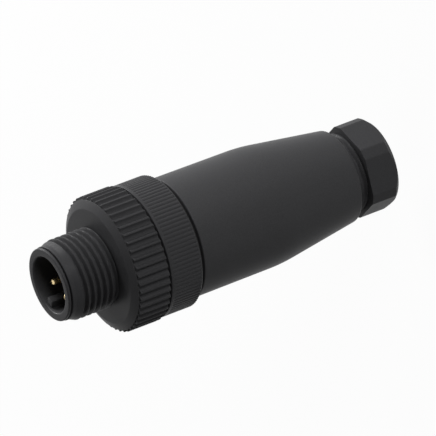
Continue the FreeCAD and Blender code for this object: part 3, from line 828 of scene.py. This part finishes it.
class CONNECTOR_OT_rings(bpy.types.Operator):
    """Make the thrust ring, the cable seal and the O-ring between sleeve and flange"""
    bl_idname = "connector.rings"
    bl_label = "Thrust ring and seals"

    def execute(self, context):
        s = in_mm(context.scene.connector_rings)
        thrust = ring_wire(s.thrust_bore, s.thrust_radius, THRUST_LOW.z, THRUST_HIGH.z, s.edge)
        spin_wire(thrust, 128)
        finish_piece(thrust, "thrust_washer", "thrust_ring", "nut_plastic", "nut_moulding", "thrust_ring")
        low, high = SEAL_LOW.z, SEAL_HIGH.z
        third = (high - low) / 3
        seal = wire((
            (s.seal_bore, low, 3 * s.edge),
            (s.seal_radius, low, 3 * s.edge),
            (s.seal_radius, high, 3 * s.edge),
            (s.seal_bore, high, 3 * s.edge),
            (s.seal_bore, high - 0.8 * third, s.edge),
            (s.seal_bore + s.seal_groove, high - third, s.edge),
            (s.seal_bore, high - 1.2 * third, s.edge),
            (s.seal_bore, low + 1.2 * third, s.edge),
            (s.seal_bore + s.seal_groove, low + third, s.edge),
            (s.seal_bore, low + 0.8 * third, s.edge),
        ))
        spin_wire(seal, 128)
        finish_piece(seal, "rubber_seal", "sleeve", "seal_rubber", "moulded_rubber", "cable_seal")
        nearly_half = 0.98 * (RING_HIGH.z - RING_LOW.z) / 2
        ring = ring_wire(s.ring_radius - s.ring_width, s.ring_radius, RING_LOW.z, RING_HIGH.z,
                         nearly_half, steps=6)
        spin_wire(ring, 192)
        finish_piece(ring, "o_ring", "seal_ring", "seal_rubber", "moulded_rubber", "flange_seal")
        return {"FINISHED"}


class CONNECTOR_OT_contacts(bpy.types.Operator):
    """Make the four contacts, each a pin, a link and a barrel with its wire and screw holes"""
    bl_idname = "connector.contacts"
    bl_label = "Contacts"

    def execute(self, context):
        s = in_mm(context.scene.connector_contacts)
        t = in_mm(context.scene.connector_terminals)
        for number, direction in enumerate(CONTACTS, start=1):
            pin = wire(((0, s.contact_top - 0.3), (s.pin_radius, s.contact_top - 0.3),
                        (s.pin_radius, s.top, s.tip_round), (0, s.top)), steps=6)
            spin_wire(pin, 32)
            bmesh.ops.translate(pin, vec=(s.pin_circle / 2, 0, 0), verts=pin.verts[:])
            bar = link_box(s, s.link_width / 2, s.contact_top - s.link_height, s.contact_top, s.edge)
            barrel = bevelled_box((s.barrel_inner, -s.barrel_width / 2, s.foot),
                                  (s.barrel_outer, s.barrel_width / 2, s.contact_top), s.edge)
            wire_hole = bevelled_box((s.wire_inner, -s.wire_width / 2, s.foot - 1),
                                     (s.wire_outer, s.wire_width / 2, s.foot + s.wire_depth), s.edge)
            screw_hole = plain_rod((0, 0, s.wire_outer - 0.2), t.screw_radius + 0.05,
                                   s.barrel_outer - s.wire_outer + 0.5)
            turn_mesh(screw_hole, 90, "Y")
            bmesh.ops.translate(screw_hole, vec=(0, 0, t.screw_level), verts=screw_hole.verts[:])
            bm = carve(barrel, [(bar, "UNION"), (pin, "UNION"), (wire_hole, "DIFFERENCE"),
                                (screw_hole, "DIFFERENCE")])
            turn_mesh(bm, direction)
            finish_piece(bm, "pin_contact_%d" % number, "head", "contact_metal", "contact_gold",
                         "contact_pin_%d" % number)
        return {"FINISHED"}


class CONNECTOR_OT_terminals(bpy.types.Operator):
    """Make the four terminal screws and their clamp plates"""
    bl_idname = "connector.terminals"
    bl_label = "Terminal screws and clamp plates"

    def execute(self, context):
        s = in_mm(context.scene.connector_terminals)
        c = in_mm(context.scene.connector_contacts)
        for number, direction in enumerate(CONTACTS, start=1):
            screw = self.screw(s)
            turn_mesh(screw, 90, "Y")
            bmesh.ops.translate(screw, vec=(c.wire_outer, 0, s.screw_level), verts=screw.verts[:])
            turn_mesh(screw, direction)
            finish_piece(screw, "slotted_screw_%d" % number, "screw_%d" % number, "screw_metal",
                         "screw_steel", "terminal_screw_%d" % number)
            plate = self.plate(s, c)
            turn_mesh(plate, direction)
            finish_piece(plate, "wire_clamp_%d" % number, "clamp_%d" % number, "plate_metal",
                         "plate_steel", "clamp_plate_%d" % number)
        return {"FINISHED"}

    def screw(self, s):
        """A slotted grub screw that stands on its point end at the origin."""
        bm = wire(((0, 0), (s.screw_radius, 0, 0.15), (s.screw_radius, s.screw_length, 0.08),
                   (0, s.screw_length)), steps=3)
        add_rows(bm, 0.15, s.screw_length - 0.1, s.screw_radius, s.screw_radius, s.screw_pitch / 8)
        spin_wire(bm, 48)

        def thread(turned, height):
            return s.screw_radius - 0.12 * thread_groove(turned, height, s.screw_pitch)

        pull_in(bm, 0.16, s.screw_length - 0.11, s.screw_radius, s.screw_radius, thread)
        slot = bevelled_box((-1, -s.slot_width / 2, s.screw_length - s.slot_depth),
                            (1, s.slot_width / 2, s.screw_length + 1), 0)
        return carve(bm, [(slot, "DIFFERENCE")])

    def plate(self, s, c):
        """A bent spring plate, its leaf against the screw and its lip over the wire hole."""
        half = c.wire_width / 2 - 0.05
        outer = c.wire_outer - 0.05
        inner = outer - s.plate_thickness
        top = s.screw_level + s.plate_length / 2
        leaf = bevelled_box((inner, -half, s.screw_level - s.plate_length / 2), (outer, half, top), 0.05)
        lip = bevelled_box((inner - s.plate_lip, -half, top - s.plate_thickness), (outer, half, top), 0.05)
        return carve(leaf, [(lip, "UNION")])


# Stage

def seen_white(tree, plain_shader):
    """White to the camera, in reflections and through glass, and the plain shader to all other rays."""
    path = add_node(tree, "ShaderNodeLightPath")
    either = add_node(tree, "ShaderNodeMath", {"operation": "MAXIMUM"})
    any_ray = add_node(tree, "ShaderNodeMath", {"operation": "MAXIMUM"})
    background = plain_shader.bl_idname == "ShaderNodeBackground"
    white = add_node(tree, "ShaderNodeBackground" if background else "ShaderNodeEmission",
                     Color=WHITE, Strength=1.0)
    mix = add_node(tree, "ShaderNodeMixShader")
    tree.links.new(path.outputs["Is Camera Ray"], either.inputs[0])
    tree.links.new(path.outputs["Is Glossy Ray"], either.inputs[1])
    tree.links.new(either.outputs["Value"], any_ray.inputs[0])
    tree.links.new(path.outputs["Is Transmission Ray"], any_ray.inputs[1])
    tree.links.new(any_ray.outputs["Value"], mix.inputs["Fac"])
    tree.links.new(plain_shader.outputs[0], mix.inputs[1])
    tree.links.new(white.outputs[0], mix.inputs[2])
    return mix


def softbox(name, middle):
    """An area lamp that looks at the object's middle from its direction."""
    toward, width, height, power = SOFTBOXES[name]
    data = bpy.data.lights.new(name, "AREA")
    data.shape = "RECTANGLE"
    data.size = width
    data.size_y = height
    data.energy = power
    lamp = bpy.data.objects.new(name, data)
    bpy.context.scene.collection.objects.link(lamp)
    back = Vector(toward).normalized()
    lamp.location = middle + back * LAMP_DISTANCE
    lamp.rotation_euler = back.to_track_quat("Z", "Y").to_euler()


class CONNECTOR_OT_stage(bpy.types.Operator):
    """Make the pale floor, the soft studio light and the camera"""
    bl_idname = "connector.stage"
    bl_label = "Stage"

    def execute(self, context):
        s = context.scene.connector_stage
        scene = context.scene
        scene.view_settings.view_transform = "Standard"
        middle = (cad_box[0] + cad_box[1]) / 2
        self.floor(s)
        self.world(s, scene)
        for name in SOFTBOXES:
            softbox(name, middle)
        self.camera(s, scene, middle)
        return {"FINISHED"}

    def floor(self, s):
        bm = bmesh.new()
        bmesh.ops.create_grid(bm, x_segments=1, y_segments=1, size=s.floor / 2)
        mesh = bpy.data.meshes.new("studio_floor")
        bm.to_mesh(mesh)
        bm.free()
        floor = bpy.data.objects.new("studio_floor", mesh)
        bpy.context.scene.collection.objects.link(floor)
        floor.location.z = -s.floor_drop
        material = bpy.data.materials.new("studio_floor")
        material.use_nodes = True
        tree = material.node_tree
        tree.nodes.clear()
        out = add_node(tree, "ShaderNodeOutputMaterial")
        paper = add_node(tree, "ShaderNodeBsdfDiffuse", Color=(0.82, 0.82, 0.82, 1))
        white = seen_white(tree, paper)
        shadow = add_node(tree, "ShaderNodeMixShader", Fac=s.floor_shade)
        tree.links.new(white.outputs[0], shadow.inputs[1])
        tree.links.new(paper.outputs[0], shadow.inputs[2])
        tree.links.new(shadow.outputs[0], out.inputs["Surface"])
        mesh.materials.append(material)

    def world(self, s, scene):
        world = bpy.data.worlds.new("studio_world")
        scene.world = world
        world.use_nodes = True
        tree = world.node_tree
        tree.nodes.clear()
        out = add_node(tree, "ShaderNodeOutputWorld")
        plain = add_node(tree, "ShaderNodeBackground", Color=WHITE, Strength=s.world_light)
        mix = seen_white(tree, plain)
        tree.links.new(mix.outputs[0], out.inputs["Surface"])

    def camera(self, s, scene, middle):
        across = Vector((math.cos(s.azimuth), math.sin(s.azimuth), 0))
        back = Vector((math.sin(s.azimuth) * math.cos(s.elevation),
                       -math.cos(s.azimuth) * math.cos(s.elevation), math.sin(s.elevation)))
        upright = back.cross(across)
        right = across * math.cos(s.roll) + upright * math.sin(s.roll)
        up = back.cross(right)
        data = bpy.data.cameras.new("camera")
        data.lens = s.lens
        data.sensor_width = 36.0
        data.clip_start = 0.01
        data.clip_end = 100.0
        camera = bpy.data.objects.new("camera", data)
        scene.collection.objects.link(camera)
        turn = Matrix((right, up, back)).transposed().to_4x4()
        camera.matrix_world = Matrix.Translation(
            middle + right * s.right + up * s.up + back * s.distance) @ turn
        scene.camera = camera


class CONNECTOR_PT_pieces(bpy.types.Panel):
    bl_idname = "CONNECTOR_PT_pieces"
    bl_label = "Connector"
    bl_space_type = "VIEW_3D"
    bl_region_type = "UI"
    bl_category = "Connector"

    def draw(self, context):
        layout = self.layout
        for attribute, operators in SECTIONS:
            box = layout.box()
            settings = getattr(context.scene, attribute)
            for key in settings.__annotations__:
                box.prop(settings, key)
            for operator in operators:
                box.operator(operator.bl_idname)


GROUPS = (
    ("connector_nut", CouplingNutSizes),
    ("connector_carrier", CarrierSizes),
    ("connector_sleeve", SleeveSizes),
    ("connector_gland", GlandNutSizes),
    ("connector_rings", RingSizes),
    ("connector_contacts", ContactSizes),
    ("connector_terminals", TerminalSizes),
    ("connector_finishes", Finishes),
    ("connector_stage", StageValues),
)

SECTIONS = (
    ("connector_nut", (CONNECTOR_OT_coupling_nut,)),
    ("connector_carrier", (CONNECTOR_OT_contact_carrier,)),
    ("connector_sleeve", (CONNECTOR_OT_sleeve,)),
    ("connector_gland", (CONNECTOR_OT_gland_nut,)),
    ("connector_rings", (CONNECTOR_OT_rings,)),
    ("connector_contacts", (CONNECTOR_OT_contacts,)),
    ("connector_terminals", (CONNECTOR_OT_terminals,)),
    ("connector_finishes", ()),
    ("connector_stage", (CONNECTOR_OT_stage,)),
)

OPERATORS = tuple(operator for _, operators in SECTIONS for operator in operators)


def register():
    for attribute, group in GROUPS:
        bpy.utils.register_class(group)
        setattr(bpy.types.Scene, attribute, PointerProperty(type=group))
    for operator in OPERATORS:
        bpy.utils.register_class(operator)
    bpy.utils.register_class(CONNECTOR_PT_pieces)


def unregister():
    bpy.utils.unregister_class(CONNECTOR_PT_pieces)
    for operator in reversed(OPERATORS):
        bpy.utils.unregister_class(operator)
    for attribute, group in reversed(GROUPS):
        delattr(bpy.types.Scene, attribute)
        bpy.utils.unregister_class(group)


def main():
    register()
    for operator in OPERATORS:
        family, action = operator.bl_idname.split(".")
        getattr(getattr(bpy.ops, family), action)()


if __name__ == "__main__":
    main()
